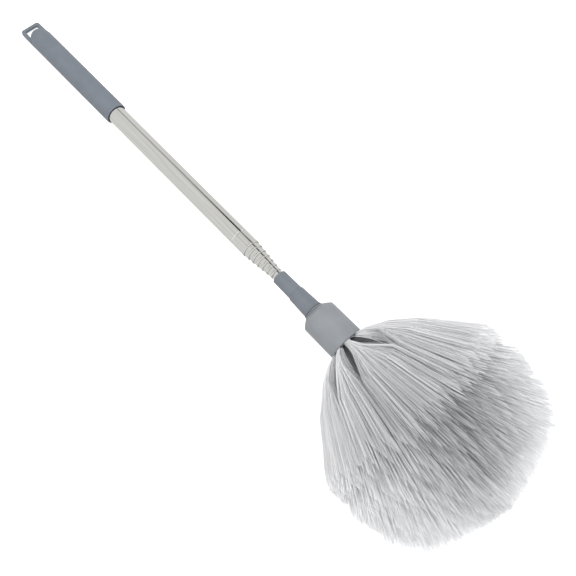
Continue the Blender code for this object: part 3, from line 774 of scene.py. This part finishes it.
# A filament is a thin three-sided rod with a drawn-out tip
def filamentMesh(points, shade, shadedShare, tier, rng):
    count, stations, _ = points.shape
    rings = stations - 1
    tangent = np.gradient(points, axis=1)
    tangent /= np.linalg.norm(tangent, axis=2, keepdims=True)
    angle = np.arctan2(points[:, -1, 1], points[:, -1, 0])
    level = np.stack((-np.sin(angle), np.cos(angle), np.zeros(count)), axis=1)[:, None, :]
    side = level - tangent * (level * tangent).sum(axis=2, keepdims=True)
    side /= np.linalg.norm(side, axis=2, keepdims=True)
    up = np.cross(tangent, side)
    thickness = filament["width"] / 2 * (1 + filament["spread"] * (rng.random(count) - 0.5))
    twist = rng.random(count) * math.tau
    corners = np.empty((count, rings * 3 + 1, 3))
    for ring in range(rings):
        for corner in range(3):
            turn = (twist + math.tau * corner / 3)[:, None]
            arm = np.cos(turn) * side[:, ring] + np.sin(turn) * up[:, ring]
            corners[:, ring * 3 + corner] = (
                points[:, ring] + arm * thickness[:, None] * filament["taper"][ring]
            )
    corners[:, -1] = points[:, -1]
    # The faces of one filament, and where they lie on its strip of the map
    faces, strips = [[2, 1, 0]], [[(1.0, 0.0), (0.5, 0.008), (0.0, 0.0)]]
    heights = [0.02 + 0.95 * share for share in filament["rings"]]
    for ring in range(rings - 1):
        for corner in range(3):
            after = (corner + 1) % 3
            faces.append([
                ring * 3 + corner, ring * 3 + after, (ring + 1) * 3 + after, (ring + 1) * 3 + corner,
            ])
            left, right = (corner + 0.05) / 3, (corner + 0.95) / 3
            strips.append([
                (left, heights[ring]), (right, heights[ring]),
                (right, heights[ring + 1]), (left, heights[ring + 1]),
            ])
    for corner in range(3):
        faces.append([(rings - 1) * 3 + corner, (rings - 1) * 3 + (corner + 1) % 3, rings * 3])
        left, right = (corner + 0.05) / 3, (corner + 0.95) / 3
        strips.append([(left, heights[-1]), (right, heights[-1]), ((left + right) / 2, 0.99)])
    pattern = np.array([index for face in faces for index in face])
    sizes = np.array([len(face) for face in faces])
    flatStrips = np.array([place for strip in strips for place in strip])
    perFilament = rings * 3 + 1
    indices = (np.arange(count)[:, None] * perFilament + pattern[None, :]).ravel()
    starts = (
        np.arange(count)[:, None] * len(pattern) + np.concatenate(([0], np.cumsum(sizes)[:-1]))[None, :]
    ).ravel()
    mesh = bpy.data.meshes.new("filaments")
    mesh.vertices.add(count * perFilament)
    mesh.vertices.foreach_set("co", corners.ravel())
    mesh.loops.add(len(indices))
    mesh.loops.foreach_set("vertex_index", indices)
    mesh.polygons.add(len(starts))
    mesh.polygons.foreach_set("loop_start", starts)
    mesh.update(calc_edges=True)
    along = np.tile(np.append(np.repeat(filament["rings"], 3), 1.0), count)
    sideShading = np.repeat(shadedShare, perFilament)
    # Painted shade: deep between the bundles the roots are dark on every side, and elsewhere their
    # darkening is weaker on the lit flanks
    deep = np.maximum(sideShading, 1 - smoothStep(along / filament["deepEnd"]))
    depth = 1 - (1 - np.clip(along / tier["rootShade"], 0, 1)) * mixed(filament["flankDepth"], 1, deep)
    # Painted shade: on the shaded side the ends are darker, as if one saw between them into the head
    tip = smoothStep((along - filament["endStart"]) / filament["endLength"])
    ends = 1 - tier["endShade"] * sideShading * tip
    stored = {"shade": np.repeat(shade, perFilament), "depth": depth, "ends": ends}
    for name, values in stored.items():
        mesh.attributes.new(name, "FLOAT", "POINT").data.foreach_set("value", values)
    rank = np.argsort(np.argsort(shade))
    places = np.empty((count, len(pattern), 2))
    places[..., 0] = (rank[:, None] + flatStrips[None, :, 0]) / count
    places[..., 1] = flatStrips[None, :, 1]
    mesh.uv_layers.new(name="OFBake").data.foreach_set("uv", places.ravel())
    return mesh


def makeTier(tier, rng):
    points, shade, shadedShare = tierFilaments(tier, rng)
    mesh = filamentMesh(points, shade, shadedShare, tier, rng)
    mesh.shade_smooth()
    piece = placePiece(tier["name"], mesh, [filamentPlastic], "head", [tier["node"]])
    print(tier["name"], "has", len(points), "filaments")
    return piece


rng = np.random.default_rng(filament["seed"])
for tier in tiers:
    makeTier(tier, rng)

# Nodes that keep their CAD mesh and get a better material
for node, material in (
    ("rear_stop_plug", bushNylon), ("bristle_block", blockPlastic), ("block_screw", screwSteel),
    ("block_washer", screwSteel),
):
    kept = frame["nodes"][node]
    for slot in kept.material_slots:
        slot.material = material
print("the bristles are made")


# Studio: pale floor, white surroundings, one soft lamp and a card beside the pole that only shows
# in shines.
studio = dict(
    floorColours=("#F2F2F2", "#F5F5F5"), floorGrain=40, floorGlow=0.4, floorLight=0.82,
    floorShine=1.0, floorSize=12,
    worldColour="#FFFFFF", worldLight=0.86,
    shineAlong=[(0.0, "#303030"), (0.08, "#606060"), (0.15, "#FFFFFF")],
    shineAhead=(-0.2, 0.35, 1.0, 1.9), keySize=6, keyPower=645, keyDistance=9, keyTurn=-8,
    cardAngle=-57, cardWidths=(14, 24), cardDistance=400, cardStart=-200, cardEnd=600,
    cardGreys=[(0.0, "#D8D8D8"), (0.3, "#D0D0D0"), (0.43, "#C0C0C0"), (0.5, "#A0A0A0"), (0.58, "#060606")],
)
photoCamera = dict(
    azimuth=47.624, elevation=75.395, lens=59.4, sensor=36, distance=1019, aim=484.6, above=2.68,
)


# The camera sees a matt floor, which lights the duster as an even sheet would
def makeFloor(values):
    bm = bmesh.new()
    bmesh.ops.create_grid(bm, x_segments=1, y_segments=1, size=values["floorSize"] / 2)
    mesh = bpy.data.meshes.new("studioFloor")
    bm.to_mesh(mesh)
    bm.free()
    material, tree, shader = newMaterial("litAcrylicFloor")
    place = addNode(tree, "ShaderNodeTexCoord")
    grain = addNode(
        tree, "ShaderNodeTexNoise", {"Scale": perMetre(values["floorGrain"]), "Detail": 2.0},
        {"Vector": place.outputs["Object"]},
    )
    tone = addNode(tree, "ShaderNodeValToRGB", links={"Fac": grain.outputs["Fac"]})
    setRamp(tone, list(zip((0.0, 1.0), values["floorColours"])))
    tree.links.new(tone.outputs["Color"], shader.inputs["Base Color"])
    shader.inputs["Roughness"].default_value = 0.9
    shader.inputs["Specular IOR Level"].default_value = 0.1
    shader.inputs["Emission Color"].default_value = linearColour(values["worldColour"])
    shader.inputs["Emission Strength"].default_value = values["floorGlow"]
    path = addNode(tree, "ShaderNodeLightPath")
    strength = addNode(
        tree, "ShaderNodeMapRange", {"To Min": values["floorLight"], "To Max": values["floorShine"]},
        {"Value": path.outputs["Is Glossy Ray"]},
    )
    evenLight = addNode(
        tree, "ShaderNodeEmission", {"Color": linearColour(values["worldColour"])},
        {"Strength": strength.outputs["Result"]},
    )
    seen = addNode(tree, "ShaderNodeMixShader", links={"Fac": path.outputs["Is Camera Ray"]})
    tree.links.new(evenLight.outputs["Emission"], seen.inputs[1])
    tree.links.new(shader.outputs["BSDF"], seen.inputs[2])
    tree.links.new(seen.outputs["Shader"], tree.nodes["Material Output"].inputs["Surface"])
    mesh.materials.append(material)
    floor = bpy.data.objects.new("studioFloor", mesh)
    bpy.context.scene.collection.objects.link(floor)


# A large soft lamp stands far behind the camera, so that the extended pole is lit as evenly as the
# closed one. It is turned round the pole a little towards its upper side.
def makeKeyLamp(values):
    lamp = bpy.data.lights.new("keyLamp", "AREA")
    lamp.size = values["keySize"]
    lamp.energy = values["keyPower"]
    holder = bpy.data.objects.new("keyLamp", lamp)
    bpy.context.scene.collection.objects.link(holder)
    turned = Matrix.Rotation(math.radians(values["keyTurn"]), 3, poleAxis)
    side = turned @ cameraBack(photoCamera)
    target = Vector(loopTip) + poleAxis * photoCamera["aim"] * mm
    holder.location = target + side * values["keyDistance"]
    holder.rotation_euler = side.to_track_quat("Z", "Y").to_euler()
    holder.visible_glossy = False


def cameraBack(values):
    turn, lift = math.radians(values["azimuth"]), math.radians(values["elevation"])
    return Vector((math.sin(turn) * math.cos(lift), -math.cos(turn) * math.cos(lift), math.sin(lift)))


def makeCamera(values):
    back = cameraBack(values)
    turn = math.radians(values["azimuth"])
    right = Vector((math.cos(turn), math.sin(turn), 0))
    up = back.cross(right)
    data = bpy.data.cameras.new("photoCamera")
    data.lens = values["lens"]
    data.sensor_width = values["sensor"]
    data.clip_start = 0.01
    camera = bpy.data.objects.new("photoCamera", data)
    bpy.context.scene.collection.objects.link(camera)
    aim = Vector(loopTip) + poleAxis * values["aim"] * mm
    place = aim + back * values["distance"] * mm - up * values["above"] * mm
    camera.matrix_world = Matrix.Translation(place) @ Matrix((right, up, back)).transposed().to_4x4()
    bpy.context.scene.camera = camera


# The card gives the steel its dark line along the pole, and both darken towards the head
def makeCard(values):
    angle = math.radians(cameraSide + values["cardAngle"])
    outward = Vector((math.cos(angle), math.sin(angle), 0))
    level = Vector((-math.sin(angle), math.cos(angle), 0))
    middle = outward * values["cardDistance"]
    narrow, wide = (
        values["cardDistance"] * math.tan(math.radians(width / 2)) for width in values["cardWidths"]
    )
    start, end = values["cardStart"], values["cardEnd"]
    bm = bmesh.new()
    corners = [
        middle + level * half + Vector((0, 0, place))
        for half, place in ((-narrow, start), (narrow, start), (wide, end), (-wide, end))
    ]
    bm.faces.new([bm.verts.new(corner) for corner in corners])
    bm.transform(poleFrame @ Matrix.Scale(mm, 4))
    mesh = bpy.data.meshes.new("darkCard")
    bm.to_mesh(mesh)
    bm.free()
    material, tree, shader = newMaterial("graduatedCard")
    place = addNode(tree, "ShaderNodeTexCoord")
    along = addNode(
        tree, "ShaderNodeMapping",
        {
            "Location": Vector(loopTip) + poleAxis * start * mm, "Rotation": poleFrame.to_euler(),
            "Scale": ((end - start) * mm,) * 3,
        },
        {"Vector": place.outputs["Object"]}, vector_type="TEXTURE",
    )
    split = addNode(tree, "ShaderNodeSeparateXYZ", links={"Vector": along.outputs["Vector"]})
    tone = addNode(tree, "ShaderNodeValToRGB", links={"Fac": split.outputs["Z"]})
    setRamp(tone, values["cardGreys"])
    tree.links.new(tone.outputs["Color"], shader.inputs["Base Color"])
    shader.inputs["Roughness"].default_value = 1.0
    shader.inputs["Specular IOR Level"].default_value = 0.0
    mesh.materials.append(material)
    card = bpy.data.objects.new("darkCard", mesh)
    bpy.context.scene.collection.objects.link(card)
    card.visible_camera = card.visible_diffuse = card.visible_shadow = False
    card.visible_transmission = card.visible_volume_scatter = False


# The surroundings are even, but in a shine they are brighter ahead of the duster and darker behind
# it, so that the rolled lips of the tubes catch a light and a dark line.
def makeWorld(values):
    world = bpy.data.worlds.new("studioWhite")
    world.use_nodes = True
    tree = world.node_tree
    direction = addNode(tree, "ShaderNodeTexCoord")
    along = addNode(
        tree, "ShaderNodeVectorMath", links={0: direction.outputs["Generated"]}, operation="DOT_PRODUCT"
    )
    along.inputs[1].default_value = poleAxis
    share = addNode(
        tree, "ShaderNodeMapRange", {"From Min": -1.0, "From Max": 1.0}, {"Value": along.outputs["Value"]}
    )
    behind = addNode(tree, "ShaderNodeValToRGB", links={"Fac": share.outputs["Result"]})
    setRamp(behind, values["shineAlong"])
    start, end, low, high = values["shineAhead"]
    ahead = addNode(
        tree, "ShaderNodeMapRange",
        {"From Min": start, "From Max": end, "To Min": low, "To Max": high},
        {"Value": along.outputs["Value"]},
    )
    shine = addNode(
        tree, "ShaderNodeBackground",
        links={"Color": behind.outputs["Color"], "Strength": ahead.outputs["Result"]},
    )
    path = addNode(tree, "ShaderNodeLightPath")
    light = tree.nodes["Background"]
    light.inputs["Color"].default_value = linearColour(values["worldColour"])
    light.inputs["Strength"].default_value = values["worldLight"]
    seen = addNode(tree, "ShaderNodeMixShader", links={"Fac": path.outputs["Is Glossy Ray"]})
    tree.links.new(light.outputs["Background"], seen.inputs[1])
    tree.links.new(shine.outputs["Background"], seen.inputs[2])
    tree.links.new(seen.outputs["Shader"], tree.nodes["World Output"].inputs["Surface"])
    bpy.context.scene.world = world


makeFloor(studio)
makeWorld(studio)
makeKeyLamp(studio)
makeCard(studio)
makeCamera(photoCamera)
bpy.context.scene.view_settings.view_transform = "Standard"
print("the studio is ready")
